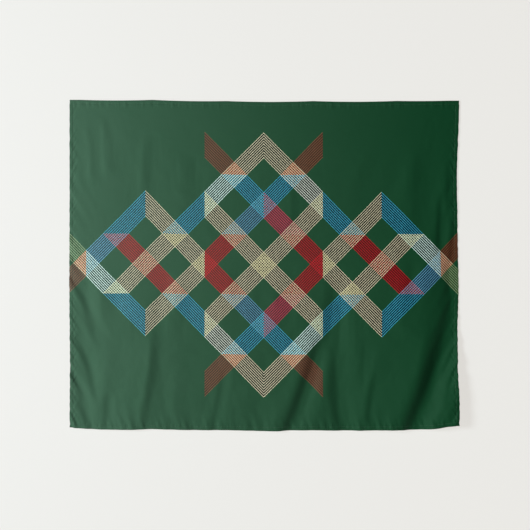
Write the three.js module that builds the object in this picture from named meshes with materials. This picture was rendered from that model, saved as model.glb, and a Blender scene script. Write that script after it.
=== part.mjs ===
// A printed cloth tapestry, hemmed on all four sides and held to a wall by six hidden strips of
// hook and loop tape behind its top hem. Millimetres, +Z up. The front faces -Y, the wall is the
// plane y = 0, and the origin is on the wall at the middle of the cloth's top edge line.
import * as THREE from 'three';

// The cloth, laid flat.
const clothWidth = 1524;
const clothDrop = 1270;
const clothThickness = 0.5;
const hemWidth = 15;
const hemLayers = 3;
const takeUp = 0.0134; // share of the width that the folds use

// Sewing.
const seamInset = 1.5; // from the hem's inner edge to its row of stitches
const threadWidth = 0.8;
const threadThickness = 0.4;

// The tape behind the top hem, counted from the wall: adhesive pad, hook strip, loop strip.
const stripLength = 60;
const stripHeight = 10;
const stripCorner = 3;
const padThickness = 1;
const hookThickness = 1.1;
const loopThickness = 0.9;

// Where the strips were put up by hand: along is the share of the way from the first strip to the
// last, and drop is how far below the highest strip each one sits.
const cornerInset = 44; // from the cloth's side edge to the middle of the outermost strip
const stripSpots = [
  { along: 0, drop: 0 },
  { along: 0.195, drop: 0 },
  { along: 0.396, drop: 4.5 },
  { along: 0.633, drop: 4.5 },
  { along: 0.86, drop: 4 },
  { along: 1, drop: 3 },
];
const sagPerSquare = 2.9e-5; // sag between two strips, for each square millimetre of their span squared

// The care label, caught in the left hem's stitches and hanging behind the cloth.
const labelLength = 46;
const labelHeight = 26;
const labelThickness = 0.4;
const labelOnHem = 5; // how much of the label's length lies over the hem
const labelAboveHem = 110; // from the bottom hem up to the label's lower edge
const labelStitchWidth = 1;

const clearance = 0.3; // between pieces that touch

// How far the hanging cloth stands off: all of it a little at the bottom, and the lower right
// corner by much more, where the cloth curls away from the wall.
const bottomStandOff = 12;
const curlStandOff = 35;
const curlStart = { across: 0.28, down: 0.25 }; // shares of the half width and of the drop

// The large folds, as ridges towards the room (depth above 0) and valleys towards the wall. A fold
// runs from one point to another, in shares of the half width and of the drop, and each has the
// width of its left and right flank in millimetres.
const folds = [
  { from: [0.965, 0.315], to: [0.766, 1], bow: 0.105, depth: -24, left: 48, right: 62 },
  { from: [0.84, 0.58], to: [0.7, 1], bow: 0.016, depth: 5, left: 80, right: 44 },
  { from: [0.28, 0.67], to: [0.075, 1], bow: 0.003, depth: 8, left: 56, right: 36 },
  { from: [0.346, 0.65], to: [0.142, 1], bow: 0.003, depth: -10, left: 40, right: 44 },
  { from: [0.362, 0.47], to: [0.402, 1], bow: -0.01, depth: -9, left: 38, right: 54 },
  { from: [-0.575, 0.645], to: [-0.656, 1], bow: 0.01, depth: 8, left: 110, right: 34 },
  { from: [0.766, 0.126], to: [0.735, 0.44], bow: 0.005, depth: 6, left: 70, right: 46 },
];
const foldColumns = 48; // steps across the panel
const foldRows = 20; // steps down the panel

const hemThickness = hemLayers * clothThickness;
const halfWidth = clothWidth / 2;
const padFront = -padThickness;
const hookFront = padFront - clearance - hookThickness;
const loopFront = hookFront - clearance - loopThickness;
const clothFront = loopFront - clearance - hemThickness; // y of the front of the top hem
const firstStrip = -halfWidth + cornerInset;
const lastStrip = halfWidth - cornerInset;

const rise = THREE.MathUtils.smoothstep;
const mix = THREE.MathUtils.lerp;

const strips = stripSpots.map(({ along, drop }) => ({
  across: mix(firstStrip, lastStrip, along),
  drop,
}));

// How far the top edge is below its highest point: it hangs in a shallow curve between strips.
function topDrop(across) {
  const next = strips.findIndex((strip) => strip.across >= across);
  if (next === 0) return strips[0].drop;
  if (next === -1) return strips[strips.length - 1].drop;
  const [a, b] = [strips[next - 1], strips[next]];
  const span = b.across - a.across;
  const share = (across - a.across) / span;
  return mix(a.drop, b.drop, share) + sagPerSquare * span ** 2 * 4 * share * (1 - share);
}

function foldDepth(fold, across, down) {
  const start = fold.from[1] * clothDrop;
  const share = (down - start) / (fold.to[1] * clothDrop - start);
  if (share <= 0 || share >= 1.3) return 0;
  const middle = mix(fold.from[0], fold.to[0], share) + fold.bow * Math.sin(Math.PI * share);
  const away = across - middle * halfWidth;
  const flank = away < 0 ? fold.left : fold.right;
  const fade = rise(share, 0, 0.4) * (1 - rise(share, 1.05, 1.3));
  return fold.depth * fade * Math.exp(-((away / flank) ** 2));
}

// How far a point of the hanging cloth comes forward of the top hem.
function standOff(across, down) {
  const body = rise(down, hemWidth, 0.2 * clothDrop);
  const curl = rise(across / halfWidth, curlStart.across, 1) * rise(down / clothDrop, curlStart.down, 1);
  const slope = bottomStandOff * rise(down, 0, clothDrop) + curlStandOff * curl;
  const relief = folds.reduce((sum, fold) => sum + foldDepth(fold, across, down), 0);
  return body * (slope + Math.max(relief, -slope - 1));
}

// A point of the hanging cloth's front face, from its place on the flat cloth.
function hang(across, down) {
  const y = clothFront - standOff(across, down);
  return new THREE.Vector3(across * (1 - takeUp), y, -down - topDrop(across));
}

const steps = (from, to, count) => Array.from({ length: count + 1 }, (_, i) => mix(from, to, i / count));

// The lines that every cloth piece shares, so that neighbours bend at the same places.
const innerLeft = -halfWidth + hemWidth + clearance;
const innerTop = hemWidth + clearance;
const innerBottom = clothDrop - hemWidth - clearance;
const panelAcross = steps(innerLeft, -innerLeft, foldColumns);
const panelDown = steps(innerTop, innerBottom, foldRows);
const seamMiddle = hemWidth - seamInset;
const stripInset = (seamMiddle - threadWidth / 2 - stripHeight) / 2; // clear of the edge and the seam
const hemLines = [0, seamMiddle, hemWidth];
const fullAcross = [-halfWidth, ...panelAcross, halfWidth];

// A closed sheet over a grid of places on the flat cloth. near and far are the depths of its two
// faces behind the cloth's front face, so a negative one stands in front of it.
function sheet(acrossLines, downLines, near, far) {
  const columns = acrossLines.length;
  const rows = downLines.length;
  const faces = [near, far].map((depth) =>
    downLines.flatMap((down) =>
      acrossLines.map((across) => hang(across, down).addScaledVector(normalAt(across, down), -depth)),
    ),
  );
  const points = faces.flat().flatMap((point) => point.toArray());
  const back = columns * rows;
  const at = (column, row) => row * columns + column;
  const index = [];
  const quad = (a, b, c, d) => index.push(a, b, c, a, c, d);
  for (let row = 0; row < rows - 1; row += 1) {
    for (let column = 0; column < columns - 1; column += 1) {
      const [a, b] = [at(column, row), at(column, row + 1)];
      const [d, c] = [at(column + 1, row), at(column + 1, row + 1)];
      quad(a, b, c, d);
      quad(a + back, d + back, c + back, b + back); // cut along the same diagonal as the front
    }
  }
  const rim = [];
  for (let row = 0; row < rows - 1; row += 1) rim.push(at(0, row));
  for (let column = 0; column < columns - 1; column += 1) rim.push(at(column, rows - 1));
  for (let row = rows - 1; row > 0; row -= 1) rim.push(at(columns - 1, row));
  for (let column = columns - 1; column > 0; column -= 1) rim.push(at(column, 0));
  rim.forEach((corner, i) => {
    const following = rim[(i + 1) % rim.length];
    quad(following, corner, corner + back, following + back);
  });
  const geometry = new THREE.BufferGeometry();
  geometry.setAttribute('position', new THREE.Float32BufferAttribute(points, 3));
  geometry.setIndex(index);
  geometry.computeVertexNormals();
  return geometry;
}

// The direction that the cloth's front faces, which on a nearly flat cloth is mostly -Y.
function normalAt(across, down) {
  const reach = 6;
  const acrossWay = hang(across + reach, down).sub(hang(across - reach, down));
  const downWay = hang(across, down + reach).sub(hang(across, down - reach));
  return downWay.cross(acrossWay).normalize();
}

// A flat bar with rounded corners, standing in the XZ plane, from its front face back to y = 0.
function roundedBar(length, height, corner, thickness) {
  const x = length / 2 - corner;
  const z = height / 2 - corner;
  const outline = new THREE.Shape();
  outline.absarc(x, z, corner, 0, Math.PI / 2);
  outline.absarc(-x, z, corner, Math.PI / 2, Math.PI);
  outline.absarc(-x, -z, corner, Math.PI, 1.5 * Math.PI);
  outline.absarc(x, -z, corner, 1.5 * Math.PI, 2 * Math.PI);
  const bar = new THREE.ExtrudeGeometry(outline, { depth: thickness, bevelEnabled: false, curveSegments: 4 });
  return bar.rotateX(Math.PI / 2);
}

const cloth = { color: 0x24503a, roughness: 0.72, metalness: 0 };
const thread = { color: 0x1f4632, roughness: 0.6, metalness: 0 };
const satin = { color: 0xe9e7e0, roughness: 0.5, metalness: 0 };
const hookTape = { color: 0xd9dadb, roughness: 0.45, metalness: 0 };
const loopTape = { color: 0xe4e3df, roughness: 0.9, metalness: 0 };
const foam = { color: 0xf1f0ec, roughness: 0.85, metalness: 0 };

const tapestry = new THREE.Group();

function add(name, geometry, finish) {
  const piece = new THREE.Mesh(geometry, new THREE.MeshStandardMaterial(finish));
  piece.name = name;
  tapestry.add(piece);
  return piece;
}

add('cloth_panel', sheet(panelAcross, panelDown, 0, clothThickness), cloth);

// Each hem is three layers, turned to the back. The top and bottom hems run the full width.
const mirrored = (lines, far) => lines.map((line) => far - line).reverse();
const hems = {
  top: { across: fullAcross, down: hemLines },
  bottom: { across: fullAcross, down: mirrored(hemLines, clothDrop) },
  left: { across: hemLines.map((line) => line - halfWidth), down: panelDown },
  right: { across: mirrored(hemLines, halfWidth), down: panelDown },
};
for (const [side, { across, down }] of Object.entries(hems)) {
  add(`hem_${side}`, sheet(across, down, 0, hemThickness), cloth);
}

// One row of lockstitches holds each hem: the needle's thread in front, the bobbin's behind.
const seamBand = (middle) => [middle - threadWidth / 2, middle + threadWidth / 2];
const seams = {
  top: { across: panelAcross, down: seamBand(seamMiddle) },
  bottom: { across: panelAcross, down: seamBand(clothDrop - seamMiddle) },
  left: { across: seamBand(seamMiddle - halfWidth), down: panelDown },
  right: { across: seamBand(halfWidth - seamMiddle), down: panelDown },
};
const bobbinNear = hemThickness + clearance;
const bobbinFar = bobbinNear + threadThickness;
for (const [side, { across, down }] of Object.entries(seams)) {
  add(`needle_thread_${side}`, sheet(across, down, -clearance - threadThickness, -clearance), thread);
  add(`bobbin_thread_${side}`, sheet(across, down, bobbinNear, bobbinFar), thread);
}

// The label lies behind the left hem's threads, and its own short row of stitches holds it there.
const labelNear = bobbinFar + clearance;
const labelFar = labelNear + labelThickness;
const labelStart = -halfWidth + hemWidth - labelOnHem;
const labelAcross = [labelStart, -halfWidth + hemWidth, labelStart + labelLength];
const labelBottom = clothDrop - hemWidth - labelAboveHem;
const labelDown = [labelBottom - labelHeight, labelBottom - labelHeight / 2, labelBottom];
add('care_label', sheet(labelAcross, labelDown, labelNear, labelFar), satin);
const stitchInset = 2; // from the label's edges to its own stitches
const labelStitchAcross = [labelStart + stitchInset, labelStart + stitchInset + labelStitchWidth];
const labelStitchDown = [labelBottom - labelHeight + stitchInset, labelBottom - stitchInset];
const stitchNear = labelFar + clearance;
add(
  'label_stitch',
  sheet(labelStitchAcross, labelStitchDown, stitchNear, stitchNear + threadThickness),
  thread,
);

// Six sets of tape, each in line with the top hem where it hangs.
const layers = [
  { name: 'wall_pad', thickness: padThickness, front: padFront, finish: foam },
  { name: 'hook_strip', thickness: hookThickness, front: hookFront, finish: hookTape },
  { name: 'loop_strip', thickness: loopThickness, front: loopFront, finish: loopTape },
];
strips.forEach(({ across }, i) => {
  const middle = hang(across, stripInset + stripHeight / 2);
  for (const { name, thickness, front, finish } of layers) {
    const bar = roundedBar(stripLength, stripHeight, stripCorner, thickness);
    const piece = add(`${name}_${i + 1}`, bar, finish);
    piece.position.set(middle.x, front + thickness, middle.z);
  }
});

export default tapestry;
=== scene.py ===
# %% [markdown]
# A printed cloth tapestry on a wall: one rectangle of thin woven polyester with a turned hem on
# every side, held by six short strips of hook and loop tape behind the top hem.
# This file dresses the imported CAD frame. Everything is in metres, +Z is up, the cloth faces -Y,
# and the wall is the plane y = 0. The origin is on the wall at the middle of the top edge.

# %% Load the frame
import math

import bpy
import numpy as np
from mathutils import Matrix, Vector


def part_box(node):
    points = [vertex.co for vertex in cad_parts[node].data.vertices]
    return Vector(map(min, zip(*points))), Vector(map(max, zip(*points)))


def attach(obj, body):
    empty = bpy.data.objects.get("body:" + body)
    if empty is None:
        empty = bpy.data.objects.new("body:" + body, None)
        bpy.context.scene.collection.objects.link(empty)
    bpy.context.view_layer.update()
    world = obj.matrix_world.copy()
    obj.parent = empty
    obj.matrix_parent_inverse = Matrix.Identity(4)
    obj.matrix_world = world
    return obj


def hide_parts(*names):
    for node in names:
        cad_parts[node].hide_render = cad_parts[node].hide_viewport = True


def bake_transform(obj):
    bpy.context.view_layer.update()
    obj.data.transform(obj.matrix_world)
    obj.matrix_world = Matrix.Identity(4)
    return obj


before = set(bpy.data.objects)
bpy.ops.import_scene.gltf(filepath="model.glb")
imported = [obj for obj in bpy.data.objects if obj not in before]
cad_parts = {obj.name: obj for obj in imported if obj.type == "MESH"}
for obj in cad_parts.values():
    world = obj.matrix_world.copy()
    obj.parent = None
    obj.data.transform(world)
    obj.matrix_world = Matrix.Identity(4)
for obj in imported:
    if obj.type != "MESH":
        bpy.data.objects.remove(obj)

scene = bpy.context.scene
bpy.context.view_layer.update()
MM = 0.001

# %% [markdown]
# The driving sizes repeat the CAD's: the flat cloth, its hem and its seam. What the frame can
# tell, such as where the tape strips are and how far the top hem stands off the wall, is read
# from the frame, so the visible pieces land where the solids are.

# %% Sizes
CLOTH_WIDTH = 1524 * MM
CLOTH_DROP = 1270 * MM
CLOTH_THICKNESS = 0.4 * MM
HEM_WIDTH = 15 * MM
SEAM_INSET = 1.5 * MM  # from the hem's inner edge to its row of stitches
TAKE_UP = 0.0134  # share of the width that the folds use
DROP_TAKE_UP = 0.0012  # and of the drop
SAG_PER_SQUARE = 0.029  # sag between two strips in metres, for a span of one metre
HALF_WIDTH = CLOTH_WIDTH / 2
SEAM_LINE = HEM_WIDTH - SEAM_INSET
STRIPS = range(1, 7)
cloth_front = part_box("hem_top")[0].y  # the plane of the top hem's front face


def strip_spot(number):
    """Where a strip's middle is across the flat cloth, and how far it sits below the highest."""
    low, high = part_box(f"loop_strip_{number}")
    return (low.x + high.x) / 2 / (1 - TAKE_UP), high.z


spots = [strip_spot(number) for number in STRIPS]
highest = max(z for _, z in spots)
hang_at = np.array([across for across, _ in spots])
hang_drop = np.array([highest - z for _, z in spots])
print("strips across", hang_at.round(3), "below the highest by", hang_drop.round(4))

# %% [markdown]
# The camera comes first. It looks straight at the cloth from the middle of the room, a long way
# back, so the edges stay square. Its distance follows from the width that the picture takes in.

# %% Camera
PICTURE_WIDTH = 2.046  # metres of wall across the picture
LENS, SENSOR = 60, 36
EYE_ACROSS, EYE_HEIGHT = 0.002, -0.637


def put(name, data):
    """An object that holds some data, placed in the scene."""
    made = bpy.data.objects.new(name, data)
    scene.collection.objects.link(made)
    return made


camera = put("camera", bpy.data.cameras.new("camera"))
camera.data.lens = LENS
camera.data.sensor_width = SENSOR
camera.location = (EYE_ACROSS, cloth_front - PICTURE_WIDTH * LENS / SENSOR, EYE_HEIGHT)
camera.rotation_euler = (math.pi / 2, 0, 0)
scene.camera = camera
print("camera", [round(v, 3) for v in camera.location])

# %% [markdown]
# Shader maths reads best as plain expressions. `Value` wraps a socket that carries a number, and
# each operator on it adds the Math node that works it out. `Recipe` holds one material's nodes:
# its `node` method makes any node from its settings and inputs, and the few colour mixes have
# their own short methods, because a Math node would turn a colour grey.


# %% Values
class Value:
    """A number that varies over a surface, ready for use in an expression."""

    def __init__(self, recipe, socket):
        self.recipe, self.socket = recipe, socket

    def math(self, operation, *others):
        return self.recipe.math(operation, self, *others)

    def __add__(self, other):
        return self.math("ADD", other)

    def __sub__(self, other):
        return self.math("SUBTRACT", other)

    def __mul__(self, other):
        return self.math("MULTIPLY", other)

    def __truediv__(self, other):
        return self.math("DIVIDE", other)

    def __rsub__(self, other):
        return self.recipe.math("SUBTRACT", other, self)

    def __lt__(self, other):
        return self.math("LESS_THAN", other)

    def __gt__(self, other):
        return self.math("GREATER_THAN", other)

    def __neg__(self):
        return self * -1

    def __abs__(self):
        return self.math("ABSOLUTE")

    __radd__, __rmul__ = __add__, __mul__


# %% Recipes
class Nodes:
    """A node tree that is written as method calls."""

    def node(self, kind, settings=None, **inputs):
        made = self.tree.nodes.new(kind)
        for name, setting in (settings or {}).items():
            setattr(made, name, setting)
        for name, given in inputs.items():
            self.feed(made.inputs[self.place(made, name)], given)
        return made

    @staticmethod
    def place(made, name):
        """An input's index, from its name with _ for spaces, or from in0, in1 and so on."""
        if name[:2] == "in" and name[2:].isdigit():
            return int(name[2:])
        return next(i for i, s in enumerate(made.inputs) if s.name.replace(" ", "_") == name)

    def feed(self, socket, given):
        if isinstance(given, Value):
            given = given.socket
        if isinstance(given, bpy.types.NodeSocket):
            self.tree.links.new(given, socket)
        else:
            socket.default_value = given


class Recipe(Nodes):
    """One material, made by adding nodes to its tree."""

    def __init__(self, name):
        self.material = bpy.data.materials.new(name)
        self.material.use_nodes = True
        self.tree = self.material.node_tree
        self.shader = self.tree.nodes["Principled BSDF"]

    def math(self, operation, *values):
        made = self.node("ShaderNodeMath", {"operation": operation})
        for socket, given in zip(made.inputs, values):
            self.feed(socket, given)
        return Value(self, made.outputs[0])

    def mix(self, share, first, second, blend="MIX"):
        """Two colours mixed by a share, as a colour socket."""
        made = self.node("ShaderNodeMix", {"data_type": "RGBA", "blend_type": blend})
        for index, given in ((0, share), (6, first), (7, second)):
            self.feed(made.inputs[index], given)
        return made.outputs[2]

    def set(self, **inputs):
        for name, given in inputs.items():
            self.feed(self.shader.inputs[name.replace("_", " ")], given)
        return self.material

    def flat_place(self):
        """Where on the flat cloth: metres across from its middle, and metres up from its middle."""
        uv = self.node("ShaderNodeUVMap", {"uv_map": "flat_cloth"})
        split = self.node("ShaderNodeSeparateXYZ", Vector=uv.outputs[0])
        return Value(self, split.outputs[0]), Value(self, split.outputs[1]), uv.outputs[0]

    def noise(self, scale, detail, **inputs):
        made = self.node("ShaderNodeTexNoise", Scale=scale, Detail=detail, **inputs)
        return Value(self, made.outputs[0])

    def bump(self, height, distance):
        return self.node("ShaderNodeBump", Strength=1.0, Distance=distance, Height=height).outputs[0]


def linear(shade):
    """A display value from 0 to 255, as the linear value that a shader wants."""
    return shade / 255 / 12.92 if shade < 10.3 else ((shade / 255 + 0.055) / 1.055) ** 2.4


def dye(red, green, blue):
    return (linear(red), linear(green), linear(blue), 1.0)


print("shader helpers ready")

# %% [markdown]
# The print is one ornament of 45 degree bands on a dark green ground. Every band is ten fine
# lines, and its middle runs where across + up, or up - across, is a whole number of print units.
# So the nearest whole number names the band, the distance to it gives the line, and tests on
# where the point lies along the band pick its dye. The design looks the same turned half round,
# so a band with a negative number is turned and read as its positive twin.
# A colour ramp with hard steps holds the dyes, and the number that the tests give picks one.

# %% Dyes and the sizes of the print
PRINT_UNIT = 231.3 * MM
PRINT_RAISE = 5 * MM  # the ornament's middle sits this far above the cloth's
PRINT_SHIFT = -3 * MM  # and this far to its right, so a little to its left
LINES_IN_BAND = 10
LINE_PITCH = 0.0323  # in print units, square to the lines
LINE_SHARE = 0.24  # of the pitch
BAND_HALF = (LINES_IN_BAND - 1 + LINE_SHARE) * LINE_PITCH / 2
CROSSING_TINT = (0.95, 0.96, 0.8, 1.0)  # where two pale bands cross
KNOT_TINT = (1.0, 1.0, 0.8, 1.0)  # and where two of their lines do

GROUND = dye(10, 57, 31)
CREAM, WHITE, PEARL, BLUE, SLATE, RED, CRIMSON, RUST, MOSS, LILAC, EMBER = range(11)
DYES = {  # the colour of a band's lines, and of the cloth between them
    CREAM: (dye(216, 208, 176), dye(10, 8, 4)),
    WHITE: (dye(220, 252, 245), dye(10, 26, 22)),
    PEARL: (dye(222, 230, 217), dye(14, 14, 14)),
    BLUE: (dye(56, 161, 192), dye(0, 33, 44)),
    SLATE: (dye(94, 156, 186), dye(11, 31, 45)),
    RED: (dye(181, 0, 27), dye(66, 0, 4)),
    CRIMSON: (dye(183, 57, 83), dye(67, 17, 28)),
    RUST: (dye(122, 71, 48), dye(52, 27, 13)),
    MOSS: (dye(141, 163, 124), dye(26, 58, 24)),
    LILAC: (dye(98, 163, 196), dye(10, 36, 52)),
    EMBER: (dye(190, 92, 60), dye(124, 56, 36)),
}


print("a band is", round(2 * BAND_HALF * PRINT_UNIT / MM, 1), "mm wide")


# %% Picking a dye
def pick(test, yes, no):
    """A number: yes where the test is 1 and no where it is 0."""
    return test * (yes - no) + no


def dye_ramp(recipe, number, which):
    """The colour of a dye's lines (which = 0) or of its ground (which = 1)."""
    ramp = recipe.node("ShaderNodeValToRGB", Fac=(number + 0.5) / len(DYES))
    stops = ramp.color_ramp.elements
    ramp.color_ramp.interpolation = "CONSTANT"
    stops.remove(stops[1])
    stops[0].color = DYES[0][which]
    for place in range(1, len(DYES)):
        stops.new(place / len(DYES)).color = DYES[place][which]
    return ramp.outputs[0]


# %% One family of bands
def bands(recipe, across, up, pale, near_middle, tail, third, last):
    """Where the bands of one family are, where their lines are, and which dye they have."""
    along = across + up
    number = along.math("ROUND")
    side = (number > -0.5) * 2 - 1
    level = abs(number)
    x, z = across * side, up * side
    first = pick(x < 1, RED, CREAM)
    first = pick(z > 0.5, pick(side > 0, *near_middle), first)
    first = pick(z > 1.5, RUST, pick(x < 0, BLUE, first))
    second = pick(x < 1, pale, pick(z > 0.5, BLUE, tail))
    second = pick(z > 1.5, CREAM, second)
    outer = pick(z > 0.5, BLUE, pick(x < 3, third, last))
    dye_number = pick(level < 2.5, second, outer)
    dye_number = pick(level < 0.5, CREAM, pick(level < 1.5, first, dye_number))
    there = pick(level < 2.5, (x > 0) * (z > -0.5), (x > 2) * (level < 3.5))
    there = pick(level < 0.5, abs(x) < 1, pick(level < 1.5, (x > -1) * (x < 2), there))
    off = (along - number) / math.sqrt(2)
    band = (abs(off) < BAND_HALF) * there
    line = (((off + BAND_HALF) / LINE_PITCH).math("FRACT") < LINE_SHARE) * band
    return band, line, dye_number


print("lines are", round(LINE_SHARE * LINE_PITCH * PRINT_UNIT / MM, 2), "mm wide")

# %% [markdown]
# Where two bands cross, both sets of lines show, and where two lines cross, their dyes add up to
# something paler. The faint rust and moss bands print strongly only inside such a crossing.


# %% The whole print
def print_colour(recipe):
    """The print as a colour socket, from the place on the flat cloth."""
    across, up, _ = recipe.flat_place()
    across, up = (across - PRINT_SHIFT) / PRINT_UNIT, (up - PRINT_RAISE) / PRINT_UNIT
    falling = bands(recipe, across, up, PEARL, (CRIMSON, SLATE), RED, WHITE, MOSS)
    rising = bands(recipe, -across, up, WHITE, (SLATE, CRIMSON), CREAM, LILAC, RUST)
    crossing = falling[0] * rising[0]
    both_pale = (falling[2] < PEARL + 0.5) * (rising[2] < PEARL + 0.5) * crossing
    colour = GROUND
    inks = []
    for band, line, number in (falling, rising):
        glowing = number.math("COMPARE", RUST, 0.5) * crossing
        number = pick(glowing, EMBER, number)
        number = pick(number.math("COMPARE", MOSS, 0.5) * crossing, CREAM, number)
        share = band * (1 - crossing * 0.5 * len(inks))
        colour = recipe.mix(share, colour, dye_ramp(recipe, number, 1))
        inks.append((line, dye_ramp(recipe, number, 0)))
    for line, ink in inks:
        colour = recipe.mix(line, colour, ink)
    both = inks[0][0] * inks[1][0]
    colour = recipe.mix(both_pale, colour, CROSSING_TINT, "MULTIPLY")
    knot = recipe.mix(1.0, inks[0][1], inks[1][1], "SCREEN")
    return recipe.mix(both, colour, recipe.mix(1.0, knot, KNOT_TINT, "MULTIPLY"))


print("dyes:", len(DYES))

# %% [markdown]
# The cloth is a plain weave of fine polyester. Its bump is the over and under of the threads, and
# the small puckers at the seams. A painted sheen stands in for the window light on its left side: a
# pale green is mixed in, more the further left, with a slow cloudiness. The back has no print of its
# own: the white yarn shows the dye only faintly, so the same print is mixed into near white.

# %% Weave and puckers
THREAD_PITCH = 0.45 * MM
WEAVE_HEIGHT = 0.05 * MM
PUCKER_HEIGHT = 1.35 * MM
PUCKERS_PER_METRE = {"lengthwise": 52.0, "upright": 40.0}


def weave(recipe):
    """The height of a plain weave, from -1 to 1, with a slow unevenness in the yarn."""
    across, up, place = recipe.flat_place()
    turns = 2 * math.pi / THREAD_PITCH
    slub = recipe.noise(90.0, 3.0, Vector=place)
    return (across * turns).math("SINE") * (up * turns).math("SINE") * 0.6 + slub * 0.8


def seam_puckers(recipe):
    """The height of the small puckers along the four seams, from about -1 to 1."""
    across, up, _ = recipe.flat_place()
    to_side = -abs(across) + HALF_WIDTH
    to_end = -abs(up) + CLOTH_DROP / 2
    slanting = up - to_side * 1.5
    seams = ((across, to_end, "lengthwise"), (slanting, to_side, "upright"))
    total = 0
    for along, inset, way in seams:
        made = recipe.node(
            "ShaderNodeTexNoise",
            {"noise_dimensions": "1D"},
            W=along,
            Scale=PUCKERS_PER_METRE[way],
            Detail=1.5,
        )
        away = (inset - SEAM_LINE - 2 * MM) / (11 * MM)
        near = (away * away * -1).math("EXPONENT")
        total = (Value(recipe, made.outputs[0]) - 0.5) * 2 * near + total
    return total


print("weave: a thread every", round(THREAD_PITCH / MM, 2), "mm")

# %% Cloth materials
# painted sheen: the base colour is made paler towards the left, where the window light falls
SHEEN_STARTS = 0.49  # of the width, to the right of the middle
SHEEN_POWER, SHEEN_MOST = 1.4, 0.124
PAINTED_SHEEN_GREEN = (0.25, 0.37, 0.31, 1)
UNDYED_YARN = dye(206, 212, 204)
SHOW_THROUGH = 0.3  # of the print, on the back
GLOSS_TINT = (0.5, 1.0, 0.72, 1.0)


def cloth_material(name, show_through):
    """The cloth's front, where show_through is 1, or its back, where little of the print shows."""
    recipe = Recipe(name)
    colour = print_colour(recipe)
    if show_through < 1:
        colour = recipe.mix(show_through, UNDYED_YARN, colour)
    across, _, place = recipe.flat_place()
    cloud = recipe.noise(7.0, 4.0, Vector=place)
    # painted sheen: pale green mixed into the print, more the further left, standing in for the window
    # light
    toward_window = (SHEEN_STARTS - across / CLOTH_WIDTH).math("MAXIMUM", 0)
    painted_sheen = toward_window.math("POWER", SHEEN_POWER) * SHEEN_MOST * (cloud * 0.3 + 0.85)
    height = weave(recipe) + seam_puckers(recipe) * PUCKER_HEIGHT / WEAVE_HEIGHT
    return recipe.set(
        Base_Color=recipe.mix(painted_sheen, colour, PAINTED_SHEEN_GREEN),
        Roughness=cloud * 0.08 + 0.6,
        Specular_IOR_Level=0.16,
        Specular_Tint=GLOSS_TINT,
        Normal=recipe.bump(height, WEAVE_HEIGHT),
    )


front_cloth = cloth_material("printed_cloth_front", 1)
back_cloth = cloth_material("printed_cloth_back", SHOW_THROUGH)
print("print nodes:", len(front_cloth.node_tree.nodes))

# %% [markdown]
# How the cloth hangs. Fine cloth that has been folded for shipping keeps soft folds, and they
# open out towards the lower edge where nothing holds it. Each fold here is a ridge or a valley
# between two points of the flat cloth, with a flank of its own on each side. The lower right
# corner curls away from the wall, and every seam draws the cloth up in small puckers.

# %% Smooth steps, ripples and folds
FOLDS = (  # from (across, down) to (across, down), bow, depth, left flank, right flank, in mm
    ((735, 400), (584, 1270), 80, -31, 50, 66),
    ((640, 740), (535, 1270), 12, 5, 80, 44),
    ((704, 330), (684, 620), 3, -7, 17, 18),
    ((738, 420), (716, 660), 2, 4, 14, 14),
    ((762, 900), (700, 1090), 6, -4, 10, 20),
    ((764, 1000), (698, 1200), 6, -4, 10, 20),
    ((584, 160), (560, 560), 4, 6, 70, 44),
    ((716, 200), (690, 560), 4, 4, 40, 16),
    ((588, 570), (566, 800), 0, -4.5, 28, 34),
    ((276, 600), (306, 1270), -8, -11, 36, 54),
    ((214, 850), (57, 1270), 2, 8, 56, 32),
    ((264, 830), (108, 1270), 2, -13, 38, 44),
    ((450, 1000), (404, 1270), 0, -4, 18, 50),
    ((396, 900), (390, 1140), 0, -2, 20, 40),
    ((-438, 820), (-500, 1270), 8, 8, 110, 28),
    ((-300, 820), (-285, 1270), 0, -3, 50, 70),
    ((-150, 1000), (-196, 1270), 4, -4, 17, 26),
    ((-750, 620), (-640, 960), 6, -7, 24, 34),
    ((-756, 820), (-640, 1190), 6, -6, 20, 34),
    ((-770, 990), (-680, 1270), 4, -5, 18, 30),
    ((-606, 1090), (-614, 1270), 0, -3, 14, 22),
    ((-632, 10), (-620, 330), 2, 3, 18, 24),
    ((-692, 20), (-676, 360), -2, 2.4, 16, 20),
    ((-462, 60), (-486, 440), 3, 3.4, 24, 30),
    ((-300, 160), (-330, 540), 0, 2.5, 56, 40),
    ((106, 180), (86, 560), 4, 6, 54, 28),
    ((660, 10), (640, 220), 2, -3, 20, 22),
)


def step(low, high, value):
    share = np.clip((value - low) / (high - low), 0, 1)
    return share * share * (3 - 2 * share)


def ripple(seed, shortest, longest, waves=7):
    """A function that wavers between about -1 and 1, with wavelengths between the two given."""
    dice = np.random.default_rng(seed)
    lengths = dice.uniform(shortest, longest, waves)
    starts = dice.uniform(0, 2 * math.pi, waves)

    def wavering(place):
        turns = 2 * math.pi * np.asarray(place)[..., None] / lengths + starts
        return np.sin(turns).sum(-1) / math.sqrt(waves)

    return wavering


def fold_relief(across, down):
    """How far the folds bring the cloth forward, in metres."""
    total = np.zeros_like(across)
    for (x0, v0), (x1, v1), bow, depth, left, right in FOLDS:
        share = (down / MM - v0) / (v1 - v0)
        middle = x0 + (x1 - x0) * share + bow * np.sin(np.pi * np.clip(share, 0, 1))
        away = across / MM - middle
        width = np.where(away < 0, left, right)
        fade = step(0, 0.4, share) * (1 - step(0.7, 1, share) * (v1 < CLOTH_DROP / MM))
        total += depth * fade * np.exp(-((away / width) ** 2))
    return total * MM


print("folds:", len(FOLDS))

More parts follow.
